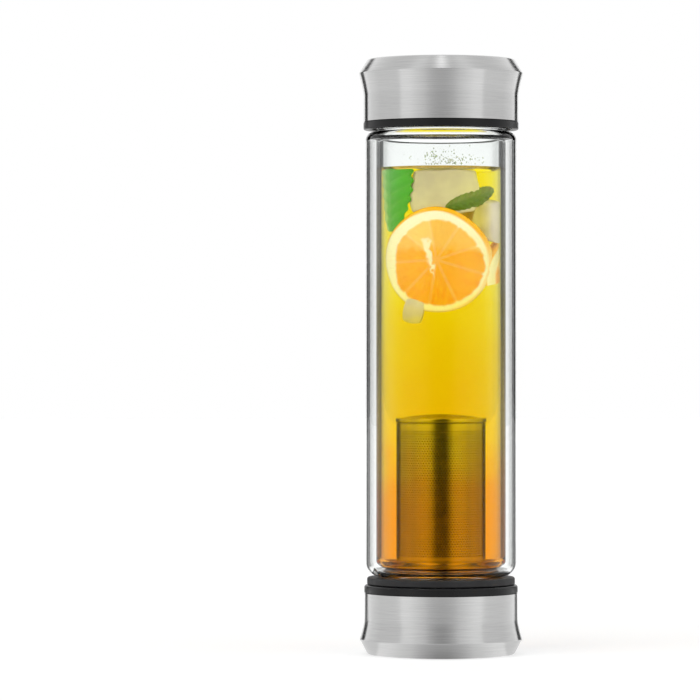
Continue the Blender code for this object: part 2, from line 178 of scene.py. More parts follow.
def worked(made, operation, *terms, kind="ShaderNodeMath"):
    """The result of one sum on links and numbers."""
    node = add(made, kind, operation=operation)
    for term, socket in zip(terms, node.inputs):
        feed(made, term, socket)
    return node.outputs["Value" if operation == "LENGTH" else 0]


def aimed(made, operation, *terms):
    """The same on vectors."""
    return worked(made, operation, *terms, kind="ShaderNodeVectorMath")


def mixed(made, share, first, second, kind="FLOAT"):
    """A blend of two numbers or colours."""
    node = add(made, "ShaderNodeMix", data_type=kind)
    for name, value in (("Factor", share), ("A", first), ("B", second)):
        feed(made, value, node.inputs[name])
    return node.outputs["Result"]


def spread(made, value, low, high, to_low=0, to_high=1):
    """A value carried over from one span to another, and held at its ends."""
    limits = add(made, "ShaderNodeMapRange")
    spans = {"Value": value, "From Min": low, "From Max": high, "To Min": to_low, "To Max": to_high}
    for name, part in spans.items():
        feed(made, part, limits.inputs[name])
    return limits.outputs["Result"]


def own_spot(made):
    """Coordinates that stay with the piece."""
    return add(made, "ShaderNodeTexCoord").outputs["Object"]


def parts_of(made, vector):
    """The X, Y and Z of a vector."""
    split = add(made, "ShaderNodeSeparateXYZ")
    feed(made, vector, split.inputs[0])
    return split.outputs


def grain(made, where, scale, detail, low=0, high=1, softness=0.5):
    """A noise over the given coordinates, as a value from low to high."""
    usual_low, usual_high = 0.3, 0.7
    pattern = add(made, "ShaderNodeTexNoise")
    pattern.inputs["Scale"].default_value = scale
    pattern.inputs["Detail"].default_value = detail
    pattern.inputs["Roughness"].default_value = softness
    feed(made, where, pattern.inputs["Vector"])
    return spread(made, pattern.outputs["Fac"], usual_low, usual_high, low, high)


def tinted(made, shader, value, dark, pale):
    """Colours a shader from dark to pale by a value from 0 to 1."""
    feed(made, mixed(made, value, dark, pale, "RGBA"), shader.inputs["Base Color"])


def bumped(made, shader, height, distance, strength=1.0):
    relief = add(made, "ShaderNodeBump")
    relief.inputs["Strength"].default_value = strength
    relief.inputs["Distance"].default_value = distance * MM
    feed(made, height, relief.inputs["Height"])
    feed(made, relief.outputs["Normal"], shader.inputs["Normal"])


def textured(made, shader, spot, tone, dark, pale, gloss, relief, distance, strength=1.0):
    """Puts a grain in a shader's colour, its roughness and its surface; each is given as grain takes it."""
    tinted(made, shader, grain(made, spot, *tone), dark, pale)
    feed(made, grain(made, spot, *gloss), shader.inputs["Roughness"])
    bumped(made, shader, grain(made, spot, *relief), distance, strength)


def round_the_axis(made, run, pitch):
    """Coordinates in which a pattern runs long round the axis and changes fast across it."""
    slant = 0.6
    spot = own_spot(made)
    level = aimed(made, "MULTIPLY", spot, (1, 1, 0))
    stretch = aimed(made, "MULTIPLY", aimed(made, "NORMALIZE", level), (run,) * 3)
    across = worked(made, "MULTIPLY_ADD", aimed(made, "LENGTH", level), slant, parts_of(made, spot)["Z"])
    lift = add(made, "ShaderNodeCombineXYZ")
    feed(made, worked(made, "MULTIPLY", across, 1 / (pitch * MM)), lift.inputs["Z"])
    return aimed(made, "ADD", stretch, lift.outputs[0])


def brushed_steel(name, dark, pale, low, high, run, pitch, relief):
    """Stainless steel brushed round the axis, with fine lines in its tone, its gloss and its surface."""
    made, shader = finish_of(name, pale, low, metallic=1.0)
    lines = round_the_axis(made, run, pitch)
    textured(made, shader, lines, (1.0, 3), dark, pale, (0.35, 4, low, high), (1.0, 4), relief)
    shader.inputs["Anisotropic"].default_value = 0.9
    shader.inputs["Anisotropic Rotation"].default_value = 0.25
    radial = add(made, "ShaderNodeTangent", direction_type="RADIAL", axis="Z")
    feed(made, radial.outputs[0], shader.inputs["Tangent"])
    return made


def cap_outline(foot, top, side, crease, crease_drop, face, flare):
    """Outer face of a cap's pressing, from the middle of its end face to its open edge at the foot."""
    rounding, crease_round, flare_steps, flare_power = 1.0, 0.5, 10, 1.3
    corners = [(0, top), (face, top, rounding), (crease, top - crease_drop, crease_round)]
    for step in range(1, flare_steps + 1):
        along = step / flare_steps
        swell = (crease - side) * (1 - along) ** flare_power
        corners.append((side + swell, top - crease_drop - flare * along))
    corners.append((side, foot))
    return rounded(corners, closed=False)


CAP_SHEET = 0.6
cap_steel = brushed_steel(
    "brushed_cap_steel", dark=(0.62, 0.62, 0.62), pale=(0.71, 0.71, 0.705),
    low=0.18, high=0.25, run=2.5, pitch=0.13, relief=0.002,
)
base_foot, base_top, base_crease = measured("base_cap_shell")
BASE_SIDE, BASE_FACE, BASE_CREASE_RISE, BASE_FLARE = 32.3, 30.9, 6.3, 8.7
standing = cap_outline(
    0, base_top - base_foot, BASE_SIDE, base_crease, BASE_CREASE_RISE, BASE_FACE, BASE_FLARE
)
outside = [(radius, base_top - height) for radius, height in reversed(standing)]
base_shell = turned("base_shell", pressed(outside[::-1], CAP_SHEET), cap_steel, closed=False)
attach(base_shell, "base_cap")
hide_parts("base_cap_shell")


# Base cap insert: the threaded well that the lower glass neck screws into. Injection moulded in black
# plastic and pushed into the shell, with a flange that covers the shell's edge.
def threaded(face, depth, start):
    """How far a ridge stands out of the face of one radius: one and a half turns, right-handed."""
    lead, turns, half_width, fade_turns, flank, on_face = 3.0, 1.5, 0.75, 0.07, 2.2, 0.01

    def swell(radius, height, turn):
        if abs(radius - face) > on_face:
            return 0
        highest = 0
        for lap in range(2):
            along = turn / (2 * math.pi) + lap
            fade = max(0, min(1, along / fade_turns, (turns - along) / fade_turns))
            away = abs(height - start - lead * along) / half_width
            highest = max(highest, fade * min(1, (1 - away) * flank))
        return depth * highest * highest * (3 - 2 * highest)

    return swell


def rows(radius, foot, top, pitch=0.25):
    """Close rows up a wall, for a thread to be drawn in."""
    count = math.ceil((top - foot) / pitch)
    return [(radius, foot + (top - foot) * row / count) for row in range(count + 1)]


PLASTIC_BLACK, PLASTIC_WORN = (0.005, 0.005, 0.0055), (0.009, 0.009, 0.0095)
black_plastic, plastic_shader = finish_of("black_moulded_plastic", PLASTIC_BLACK, 0.3)
textured(
    black_plastic, plastic_shader, own_spot(black_plastic), (90, 3), PLASTIC_BLACK, PLASTIC_WORN,
    (260, 4, 0.25, 0.38), (5200, 2), 0.006,
)
plastic_shader.inputs["Specular IOR Level"].default_value = 0.3
insert_foot, flange_top, flange_radius = measured("base_cap_inner")
FLANGE, SKIRT, SKIRT_DROP, MOULD_WALL, WELL, SOCKET_HOLE, LEDGE = 3.2, 31.4, 6.9, 2.2, 25.0, 22.2, 15.4
flange_under = flange_top - FLANGE
web = flange_top - MOULD_WALL
WELL_THREAD_START, WELL_THREAD_DEPTH = 22.8, -1.2
corners = [(SOCKET_HOLE, LEDGE), (WELL, LEDGE)] + rows(WELL, LEDGE + 0.6, flange_top - 0.8)
corners += [(WELL, flange_top, 0.4), (flange_radius, flange_top, 1.1), (flange_radius, flange_under, 0.2)]
corners += [(SKIRT, flange_under), (SKIRT, flange_under - SKIRT_DROP, 0.4)]
corners += [(SKIRT - MOULD_WALL, flange_under - SKIRT_DROP, 0.4), (SKIRT - MOULD_WALL, web, 0.4)]
corners += [(WELL + MOULD_WALL, web, 0.4), (WELL + MOULD_WALL, insert_foot, 0.3), (WELL, insert_foot, 0.3)]
corners += [(WELL, LEDGE - MOULD_WALL, 0.4), (SOCKET_HOLE, LEDGE - MOULD_WALL, 0.3)]
base_insert = turned(
    "base_insert",
    rounded(corners),
    black_plastic,
    steps=192,
    swell=threaded(WELL, WELL_THREAD_DEPTH, WELL_THREAD_START),
)
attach(base_insert, "base_cap")
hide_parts("base_cap_inner")

# Infuser socket: a round moulding snapped up into the insert. Its slot takes the infuser's collar, and
# its spigot stands inside the collar; the same black plastic.
socket_foot, spigot_top, socket_rim = measured("infuser_socket")
PAN, SPIGOT_BORE, SPIGOT, SLOT_FLOOR, SLOT, SOCKET_WALL = 9.8, 15.5, 17.1, 12.0, 19.7, 21.9
RIM_TOP = 12.9
corners = [(0, PAN), (SPIGOT_BORE, PAN, 0.5), (SPIGOT_BORE, spigot_top, 0.5), (SPIGOT, spigot_top, 0.7)]
corners += [(SPIGOT, SLOT_FLOOR, 0.3), (SLOT, SLOT_FLOOR, 0.3), (SLOT, LEDGE, 0.4), (SOCKET_WALL, LEDGE, 0.3)]
corners += [(SOCKET_WALL, RIM_TOP, 0.2), (socket_rim, RIM_TOP, 0.3), (socket_rim, RIM_TOP - MOULD_WALL, 0.5)]
corners += [(SOCKET_WALL, RIM_TOP - MOULD_WALL, 0.3), (SOCKET_WALL, SLOT_FLOOR - MOULD_WALL, 0.6)]
corners += [(SPIGOT_BORE + MOULD_WALL, SLOT_FLOOR - MOULD_WALL, 0.4)]
corners += [(SPIGOT_BORE + MOULD_WALL, socket_foot, 0.6), (0, socket_foot)]
socket = turned("infuser_socket_moulding", rounded(corners, closed=False), black_plastic, closed=False)
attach(socket, "base_cap")
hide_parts("infuser_socket")

# Base liner: a bright steel disc on the floor of the socket, blanked from sheet.
# It is fixed in the moulding and faces the tea leaves.
liner_steel = brushed_steel(
    "satin_liner_steel", dark=(0.56, 0.56, 0.55), pale=(0.66, 0.66, 0.65),
    low=0.2, high=0.3, run=3.0, pitch=0.3, relief=0.003,
)


def liner(name, node, face_up):
    """A disc with a shallow dished middle and two pressed rings, on the side that faces the tea."""
    foot, top, radius = measured(node)
    dish, ring_rise, ring_width, ring_shares, steps = 0.15, 0.12, 0.7, (0.45, 0.8), 60
    face = []
    for step in range(steps + 1):
        place = radius * step / steps
        rise = -dish * max(0, 1 - (place / radius) ** 2)
        for share in ring_shares:
            rise += ring_rise * max(0, 1 - abs(place - share * radius) / ring_width)
        face.append((place, min(top, top - ring_rise + rise)))
    outline = face + [(radius, foot), (0, foot)]
    if not face_up:
        outline = [(place, foot + top - height) for place, height in outline]
    made = turned(name, outline, liner_steel, closed=False, steps=128)
    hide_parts(node)
    return made


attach(liner("base_liner", "base_cap_liner", face_up=True), "base_cap")

# Base gasket: a soft black ring under the glass shoulder. Moulded in silicone rubber, matt, with a
# rounded outer edge, and it stays on the cap's flange.
rubber, rubber_shader = finish_of("black_silicone_rubber", (0.022, 0.022, 0.023), 0.55)
textured(
    rubber, rubber_shader, own_spot(rubber), (140, 4), (0.008, 0.008, 0.0085), (0.016, 0.016, 0.017),
    (300, 4, 0.48, 0.64), (3800, 3), 0.01,
)
gasket_foot, gasket_top, gasket_radius = measured("base_gasket")
GASKET_BORE = 24.7
corners = [(GASKET_BORE, gasket_top, 0.3), (gasket_radius, gasket_top, 0.9)]
corners += [(gasket_radius, gasket_foot, 0.3), (GASKET_BORE, gasket_foot, 0.3)]
gasket = turned("gasket_ring", rounded(corners), rubber)
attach(gasket, "base_gasket")
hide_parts("base_gasket")

# Lip seal: a milky silicone ring that clasps the lower lip of the glass and seals it on the cap's ledge.
# Moulded soft: a flat foot under the lip, and a thin leg that stands round the neck.
clear_silicone, silicone_shader = finish_of("milky_silicone", (0.86, 0.88, 0.87), 0.35)
textured(
    clear_silicone, silicone_shader, own_spot(clear_silicone), (220, 4),
    (0.74, 0.76, 0.75), (0.86, 0.88, 0.87), (400, 3, 0.3, 0.45), (2600, 2), 0.008,
)
silicone_shader.inputs["Transmission Weight"].default_value = 0.35
silicone_shader.inputs["Subsurface Weight"].default_value = 0.4
silicone_shader.inputs["Subsurface Radius"].default_value = (0.002, 0.002, 0.002)
silicone_shader.inputs["IOR"].default_value = 1.41
seal_foot, seal_top, seal_radius = measured("base_lip_seal")
SEAL_BORE, SEAL_LEG, SEAL_FOOT, THREAD_ROOM = 20.3, 0.6, 2.0, 0.1
# Its leg is thin enough to rise past the well's thread with the glass
seal_radius = min(seal_radius, WELL + WELL_THREAD_DEPTH - THREAD_ROOM)
corners = [(seal_radius - SEAL_LEG, seal_top, 0.3), (seal_radius, seal_top, 0.4)]
corners += [(seal_radius, seal_foot, 0.5), (SEAL_BORE, seal_foot, 0.4)]
corners += [(SEAL_BORE, seal_foot + SEAL_FOOT, 0.4), (seal_radius - SEAL_LEG, seal_foot + SEAL_FOOT, 0.3)]
lip_seal = turned("lip_seal_ring", rounded(corners), clear_silicone)
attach(lip_seal, "base_seal")
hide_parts("base_lip_seal")

# Infuser collar: the plain steel foot of the infuser, rolled from 0.8 mm sheet and welded, with an inner
# shelf under the tube. Satin finished.
basket_steel = brushed_steel(
    "satin_basket_steel", dark=(0.56, 0.54, 0.50), pale=(0.62, 0.60, 0.56),
    low=0.20, high=0.26, run=1.5, pitch=0.6, relief=0.0004,
)
collar_foot, collar_top, collar_radius = measured("infuser_collar")
COLLAR_BORE, COLLAR_SHELF_BORE, COLLAR_FOOT_BORE, FOOT_SHEET = 18.5, 17.7, 17.4, 1.2
SHELF_RISE, SHELF = 20.1, 1.0
shelf = collar_foot + SHELF_RISE
corners = [(COLLAR_BORE, collar_top, 0.2), (collar_radius, collar_top, 0.5)]
corners += [(collar_radius, collar_foot, 0.6), (COLLAR_FOOT_BORE, collar_foot, 0.3)]
corners += [(COLLAR_FOOT_BORE, collar_foot + FOOT_SHEET, 0.3), (COLLAR_BORE, collar_foot + FOOT_SHEET, 0.3)]
corners += [(COLLAR_BORE, shelf, 0.2), (COLLAR_SHELF_BORE, shelf, 0.3)]
corners += [(COLLAR_SHELF_BORE, shelf + SHELF, 0.3), (COLLAR_BORE, shelf + SHELF, 0.2)]
collar = turned("infuser_collar_sleeve", rounded(corners), basket_steel)
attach(collar, "infuser")
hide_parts("infuser_collar")

# Infuser tube: stainless sheet, etched with fine staggered holes, rolled into a tube and welded. A plain band
# stays below and above the holes, and tea has stained its inner face.
INFUSER_SHEET, HOLE_COLUMNS, HOLE_ROW_PITCH, HOLE_SHARE, HOLE_SIDES = 0.5, 102, 1.02, 0.68, 6
BAND_BELOW, BAND_ABOVE = 7.6, 2.6
stained_steel, stained_shader = finish_of("tea_stained_steel", (0.08, 0.05, 0.02), 0.6, metallic=0.4)
stain = grain(stained_steel, own_spot(stained_steel), 160, 4)
tinted(stained_steel, stained_shader, stain, (0.03, 0.02, 0.01), (0.1, 0.06, 0.03))
tube_foot, tube_top, tube_radius = measured("infuser_wall")
hole_radius = HOLE_SHARE * HOLE_ROW_PITCH / 2


def hole_row(shape, lower, upper, height, stagger):
    """One row of cells, each a sheared patch of four corners with a six-sided hole in it."""
    around_hole = (1, 3, 4), (3, 2, 6, 5), (4, 3, 5), (2, 0, 7), (6, 2, 7), (0, 1, 9, 8), (0, 8, 7), (1, 4, 9)
    step = 2 * math.pi / HOLE_COLUMNS
    for column in range(HOLE_COLUMNS):
        right = (column + 1) % HOLE_COLUMNS
        edge = []
        for side in range(HOLE_SIDES):
            turn = 2 * math.pi * side / HOLE_SIDES
            across = (column + stagger) * step + hole_radius * math.cos(turn) / tube_radius
            edge.append(shape.verts.new(spun(tube_radius, across, height + hole_radius * math.sin(turn))))
        cell = [lower[column], lower[right], upper[column], upper[right]] + edge
        for corners in around_hole:
            shape.faces.new([cell[corner] for corner in corners])


def ring_of(shape, radius, height, columns, stagger=0):
    turns = [2 * math.pi * (column + stagger) / columns for column in range(columns)]
    return [shape.verts.new(spun(radius, turn, height)) for turn in turns]


def band(shape, lower, upper):
    for column in range(len(lower)):
        right = (column + 1) % len(lower)
        shape.faces.new((lower[column], lower[right], upper[right], upper[column]))


def sheeted(made):
    """Gives a face its sheet, with a stained inner face and sharp corners at the open edges."""
    made.data.materials.append(stained_steel)
    shape = bmesh.new()
    shape.from_mesh(made.data)
    for edge in shape.edges:
        edge.smooth = edge.smooth and not edge.is_boundary
    shape.to_mesh(made.data)
    shape.free()
    wall = made.modifiers.new("sheet", "SOLIDIFY")
    wall.thickness = INFUSER_SHEET * MM
    wall.offset = -1
    wall.material_offset = 1


shape = bmesh.new()
hole_rows = int((tube_top - tube_foot - BAND_BELOW - BAND_ABOVE) / HOLE_ROW_PITCH)
foot_ring = ring_of(shape, tube_radius, tube_foot, HOLE_COLUMNS)
lower = ring_of(shape, tube_radius, tube_foot + BAND_BELOW, HOLE_COLUMNS)
band(shape, foot_ring, lower)
for row in range(hole_rows):
    level = tube_foot + BAND_BELOW + HOLE_ROW_PITCH * row
    upper = ring_of(shape, tube_radius, level + HOLE_ROW_PITCH, HOLE_COLUMNS, (row + 1) / 2)
    hole_row(shape, lower, upper, level + HOLE_ROW_PITCH / 2, row / 2 + 0.75)
    lower = upper
band(shape, lower, ring_of(shape, tube_radius, tube_top, HOLE_COLUMNS, hole_rows / 2))
bmesh.ops.recalc_face_normals(shape, faces=shape.faces)
tube = piece_of("infuser_tube", shape, basket_steel)
sheeted(tube)
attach(tube, "infuser")
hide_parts("infuser_wall")

# Infuser end: the closed end of the basket, a low perforated dome pressed from the same sheet, with a
# rolled bead round its rim and a skirt inside the tube, spot welded to it.
skirt_foot, dome_top, bead_radius = measured("infuser_end")
END_STEPS, END_PITCH, DOME_RISE, BEAD_HEIGHT = 120, 1.02, 1.6, 1.9
SKIRT_RADIUS, DOME_EDGE, HOLE_REACH = 17.4, 16.4, 15.7
bead_top = dome_top - DOME_RISE


def dome_height(radius):
    """The height of the dome, which falls off as a shallow cap of a sphere does."""
    return bead_top + DOME_RISE * (1 - (radius / DOME_EDGE) ** 2)


shape = bmesh.new()
outlines = [[
    shape.verts.new((DOME_EDGE * math.cos(turn), DOME_EDGE * math.sin(turn), 0))
    for turn in (2 * math.pi * step / END_STEPS for step in range(END_STEPS))
]]
reach = int(HOLE_REACH / END_PITCH) + 1
for row in range(-reach, reach + 1):
    for column in range(-reach, reach + 1):
        x = (column + row % 2 / 2) * END_PITCH
        y = row * END_PITCH * math.sqrt(3) / 2
        if math.hypot(x, y) > HOLE_REACH:
            continue
        hole = []
        for side in range(HOLE_SIDES):
            turn = math.pi * (side + 0.5) / 3
            place = (x + hole_radius * math.cos(turn), y + hole_radius * math.sin(turn), 0)
            hole.append(shape.verts.new(place))
        outlines.append(hole)
edges = []
for outline in outlines:
    edges += [shape.edges.new((outline[place - 1], outline[place])) for place in range(len(outline))]
bmesh.ops.triangle_fill(shape, use_beauty=True, use_dissolve=False, edges=edges)
for vert in shape.verts:
    radius = math.hypot(vert.co.x, vert.co.y)
    vert.co = (vert.co.x * MM, vert.co.y * MM, dome_height(radius) * MM)
rim = rounded(
    [
        (DOME_EDGE, bead_top),
        (bead_radius, bead_top, 0.55),
        (bead_radius, bead_top - BEAD_HEIGHT, 0.5),
        (SKIRT_RADIUS, bead_top - BEAD_HEIGHT, 0.3),
        (SKIRT_RADIUS, skirt_foot),
    ],
    closed=False,
)
lower = outlines[0]
for radius, height in rim[1:]:
    upper = ring_of(shape, radius, height, END_STEPS, 0)
    band(shape, lower, upper)
    lower = upper
bmesh.ops.recalc_face_normals(shape, faces=shape.faces)
cover = piece_of("infuser_dome", shape, basket_steel)
sheeted(cover)
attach(cover, "infuser")
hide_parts("infuser_end")

# Steeped leaves: the dark, wet tea leaves that fill the basket, and show through its holes. A packed
# lump with a rough skin, which lies on the socket and stays inside the tube.
LEAVES_FOOT, LEAVES_TOP, LEAVES_RADIUS, LEAVES_CROWN, END_RINGS, SIDE_ROWS = 41.4, 91.0, 16.6, 1.5, 6, 40
leaves, leaves_shader = finish_of("steeped_leaves", (0.05, 0.03, 0.01), 0.7)
spot = own_spot(leaves)
leaf_tone = grain(leaves, spot, 420, 4, softness=0.6)
tinted(leaves, leaves_shader, leaf_tone, (0.008, 0.005, 0.001), (0.09, 0.06, 0.015))
bumped(leaves, leaves_shader, grain(leaves, spot, 600, 3), 0.4, strength=0.7)


def crumpled(radius, height, turn):
    """How far the lump's skin stands out or in, from one curled leaf to the next."""
    reach, drawn_in, curl, calm_middle = 0.9, 0.5, 0.45, 8
    spot = Vector((math.cos(turn) * radius, math.sin(turn) * radius, height))
    return min(1, radius / calm_middle) * (reach * noise.noise(spot * curl) - drawn_in)


def lump_radius(place):
    return LEAVES_RADIUS * place / END_RINGS


corners = [(lump_radius(place), LEAVES_FOOT) for place in range(END_RINGS)]
for row in range(SIDE_ROWS + 1):
    corners.append((LEAVES_RADIUS, LEAVES_FOOT + (LEAVES_TOP - LEAVES_FOOT) * row / SIDE_ROWS))
for place in range(END_RINGS - 1, -1, -1):
    corners.append((lump_radius(place), LEAVES_TOP + LEAVES_CROWN - place / 4))
fill = turned("tea_leaves", corners, leaves, closed=False, steps=96, swell=crumpled)
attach(fill, "infuser")

# Grip ring: a milky silicone ring inside the collar, which grips the spigot of the socket. Pushed in
# below the shelf, with a rounded lead-in.
ring_foot, ring_top, ring_radius = measured("infuser_ring")
RING_BORE = 17.4
corners = [(RING_BORE, ring_top, 0.25), (ring_radius, ring_top, 0.25), (ring_radius, ring_foot, 0.25)]
corners += [(RING_BORE, ring_foot, 0.35)]
grip_ring = turned("grip_ring", rounded(corners), clear_silicone)
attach(grip_ring, "infuser")
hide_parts("infuser_ring")

# Glass body: two borosilicate tubes fused at both ends, with an air gap between them, a threaded neck at
# each end and a vent low on one side, through which the gap was evened while the glass was hot.
glass, glass_shader = finish_of("borosilicate_glass", (0.985, 0.995, 0.99), 0.0)
glass_shader.inputs["Transmission Weight"].default_value = 1.0
glass_shader.inputs["IOR"].default_value = 1.47
glass_shader.inputs["Specular Tint"].default_value = (0.08, 0.08, 0.08, 1)
bumped(glass, glass_shader, grain(glass, own_spot(glass), 38, 1), 0.02, strength=0.12)
neck_foot, lip, glass_radius = measured("glass_body")
OUTER_WALL, AIR_GAP, INNER_WALL, LOWER_CORNER, UPPER_CORNER, SHOULDER = 1.7, 2.8, 2.7, 5.9, 3.2, 2.5
NECK_STEP, LOWER_NECK_WALL, UPPER_NECK, LOWER_NECK, LIP_ROUND = 4.5, 3.0, 18.1, 14.7, 1.0
GLASS_THREAD_DEPTH, GLASS_THREAD_CLEAR, THREAD_OVER_SHOULDER, GAP_ROOM = 1.2, 1.5, 4.2, 0.01
tube_outside = glass_radius - OUTER_WALL - AIR_GAP
bore = tube_outside - INNER_WALL
lower_bore = bore - NECK_STEP
lower_neck = lower_bore + LOWER_NECK_WALL
underside = neck_foot + LOWER_NECK
shoulder = lip - UPPER_NECK
floor = underside + SHOULDER + OUTER_WALL
upper_thread_start = shoulder + THREAD_OVER_SHOULDER
lower_thread_start = WELL_THREAD_START + GLASS_THREAD_CLEAR
lower_swell = threaded(lower_neck, GLASS_THREAD_DEPTH, lower_thread_start)
upper_swell = threaded(tube_outside, GLASS_THREAD_DEPTH, upper_thread_start)


def both_threads(radius, height, turn):
    if height < underside:
        return lower_swell(radius, height, turn)
    return upper_swell(radius, height, turn) if height > shoulder else 0


corners = [(bore, lip, LIP_ROUND), (tube_outside, lip, LIP_ROUND)]
corners += rows(tube_outside, shoulder + 1.2, lip - 2.0)[::-1]
corners += [(tube_outside, shoulder, 0.8), (glass_radius, shoulder, UPPER_CORNER)]
corners += [(glass_radius, underside, LOWER_CORNER), (lower_neck, underside, 0.5)]
corners += rows(lower_neck, neck_foot + 2.0, underside - 1.0)[::-1]
corners += [(lower_neck, neck_foot, LIP_ROUND), (lower_bore, neck_foot, LIP_ROUND)]
corners += [(lower_bore, floor, 0.8), (bore, floor, NECK_STEP - 0.1)]
shape = bmesh.new()
lathe(shape, rounded(corners), 192, closed=True, swell=both_threads)
gap_round = AIR_GAP / 2 - GAP_ROOM
gap_floor = underside + OUTER_WALL
corners = [(tube_outside, shoulder - SHOULDER, gap_round)]
corners += [(tube_outside + AIR_GAP, shoulder - SHOULDER, gap_round)]
corners += [(tube_outside + AIR_GAP, gap_floor, LOWER_CORNER - OUTER_WALL)]
corners += [(lower_bore + 3.0, gap_floor, 0.3), (tube_outside, gap_floor + 3.6, 3.0)]
gap_faces = lathe(shape, rounded(corners), 192, closed=True)
bmesh.ops.reverse_faces(shape, faces=gap_faces)
body = piece_of("glass_bottle", shape, glass)

VENT_RADIUS, PLUG_RADIUS, PLUG_CROWN, DRILL_OVER = 1.6, 1.3, 0.3, 2
VENT_AZIMUTH, VENT_SLOPE = math.radians(203.7), math.radians(-45)
aside = Vector((math.cos(VENT_AZIMUTH), math.sin(VENT_AZIMUTH), 0))
way = aside * math.cos(VENT_SLOPE) + Vector((0, 0, math.sin(VENT_SLOPE)))
corner_middle = aside * (glass_radius - LOWER_CORNER) + Vector((0, 0, underside + LOWER_CORNER))
turn_to_vent = way.to_track_quat("Z", "Y").to_matrix().to_4x4()
shape = bmesh.new()
middle = corner_middle + way * (LOWER_CORNER - OUTER_WALL / 2)
bmesh.ops.create_cone(
    shape,
    cap_ends=True,
    segments=32,
    radius1=VENT_RADIUS * MM,
    radius2=VENT_RADIUS * MM,
    depth=(OUTER_WALL + DRILL_OVER) * MM,
    matrix=Matrix.Translation(middle * MM) @ turn_to_vent,
)
drill = piece_of("vent_drill", shape, glass)
vent = body.modifiers.new("vent", "BOOLEAN")
vent.operation = "DIFFERENCE"
vent.object = drill
bpy.context.view_layer.update()
graph = bpy.context.evaluated_depsgraph_get()
drilled = bpy.data.meshes.new_from_object(body.evaluated_get(graph))
body.modifiers.clear()
body.data = drilled
drilled.shade_smooth()
drilled.set_sharp_from_angle(angle=math.radians(30))
bpy.data.objects.remove(drill)
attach(body, "glass")
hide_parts("glass_body")

# Vent plug: a drop of clear silicone that closes the vent in the outer wall. It fills the hole and
# stands a little proud, with a rounded crown.
corners = [(0, OUTER_WALL + PLUG_CROWN), (PLUG_RADIUS, OUTER_WALL + PLUG_CROWN, 0.6)]
corners += [(PLUG_RADIUS, 0, 0.2), (0, 0)]
plug = turned("vent_drop", rounded(corners, closed=False), clear_silicone, closed=False, steps=32)
plug_foot = corner_middle + way * (LOWER_CORNER - OUTER_WALL)
plug.data.transform(Matrix.Translation(plug_foot * MM) @ turn_to_vent)
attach(plug, "glass")
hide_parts("vent_plug")


# Tea: a clear infusion that fills the bore to some way below the lip, yellow in the upper part and amber
# where the leaves steep. It wets the glass, so its face lies a hair inside the wall, and it creeps up it.
def gradient(made, share, stops):
    """The colour at a share from 0 to 1, between stops of a place and a colour each."""
    ramp = add(made, "ShaderNodeValToRGB")
    marks = ramp.color_ramp.elements
    for place, colour in stops[1:-1]:
        marks.new(place)
    for mark, (place, colour) in zip(marks, stops):
        mark.position = place
        mark.color = (*colour, 1)
    feed(made, share, ramp.inputs["Fac"])
    return ramp.outputs["Color"]


TEA_TOP, TEA_FOOT, WETTED, CREEP, LINE_BELOW, LINE_ABOVE = 203.4, 36.0, 0.06, 1.1, 0.1, 0.3
tea, tea_shader = finish_of("yellow_tea", (1, 1, 1), 0.0)
tea_shader.inputs["Transmission Weight"].default_value = 1.0
tea_shader.inputs["IOR"].default_value = 1.03
depth = add(tea, "ShaderNodeVolumeAbsorption")
depth.inputs["Color"].default_value = (0.993, 0.957, 0.0, 1)
depth.inputs["Density"].default_value = 150
feed(tea, depth.outputs[0], tea.node_tree.nodes["Material Output"].inputs["Volume"])
spot = own_spot(tea)
rise = parts_of(tea, spot)["Z"]
share = spread(tea, rise, TEA_FOOT * MM, TEA_TOP * MM)
drift = worked(tea, "ADD", share, grain(tea, spot, 55, 2, -0.05, 0.05))
steeping = [(0.0, (0.93, 0.38, 0.01)), (0.14, (0.93, 0.38, 0.01)), (0.2, (0.93, 0.42, 0.01))]
steeping += [(0.25, (0.93, 0.52, 0.01)), (0.31, (0.93, 0.64, 0.02)), (0.52, (0.93, 0.72, 0.03))]
steeping += [(0.64, (0.95, 0.8, 0.12)), (0.7, (0.97, 0.88, 0.55)), (1.0, (1.0, 0.97, 0.92))]
# Where the tea creeps up the glass its face is tinted grey-brown: a painted dark line at its edge
painted_dark_line = spread(tea, rise, (TEA_TOP - LINE_BELOW) * MM, (TEA_TOP + LINE_ABOVE) * MM)
tinted(tea, tea_shader, painted_dark_line, gradient(tea, drift, steeping), (0.62, 0.5, 0.36))
wet = bore + WETTED
corners = [(0, TEA_TOP), (wet - 2.4 * CREEP, TEA_TOP, 2.0), (wet - 0.15, TEA_TOP + CREEP, 0.1)]
corners += [(wet, TEA_TOP + CREEP), (wet, floor - WETTED, NECK_STEP), (lower_bore + 0.3, floor - WETTED, 0.2)]
corners += [(lower_bore + WETTED, TEA_FOOT), (0, TEA_FOOT)]
brew = turned("tea_infusion", rounded(corners, closed=False), tea, closed=False, steps=192)
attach(brew, "glass")


# Citrus slices: a round slice that clings to the front wall, and half a slice a quarter turn further
# round. Each has a thin rind, white pith, and segments of juicy flesh parted by pale skins.
WALL_FILM = 0.25
cling = bore - WALL_FILM


def on_the_wall(turn, along, height, depth):
    """A point so far inside the bore's wall, at an arc length along it from a middle direction."""
    reach = cling - depth
    swung = turn + along / cling
    return Vector((reach * math.cos(swung), reach * math.sin(swung), height)) * MM


def channels_of(made, name):
    """The red, green and blue of a colour that a mesh keeps at its points."""
    split = add(made, "ShaderNodeSeparateColor")
    feed(made, add(made, "ShaderNodeAttribute", attribute_name=name).outputs["Color"], split.inputs[0])
    return split.outputs


def smooth(value):
    held = min(1, max(0, value))
    return held * held * (3 - 2 * held)


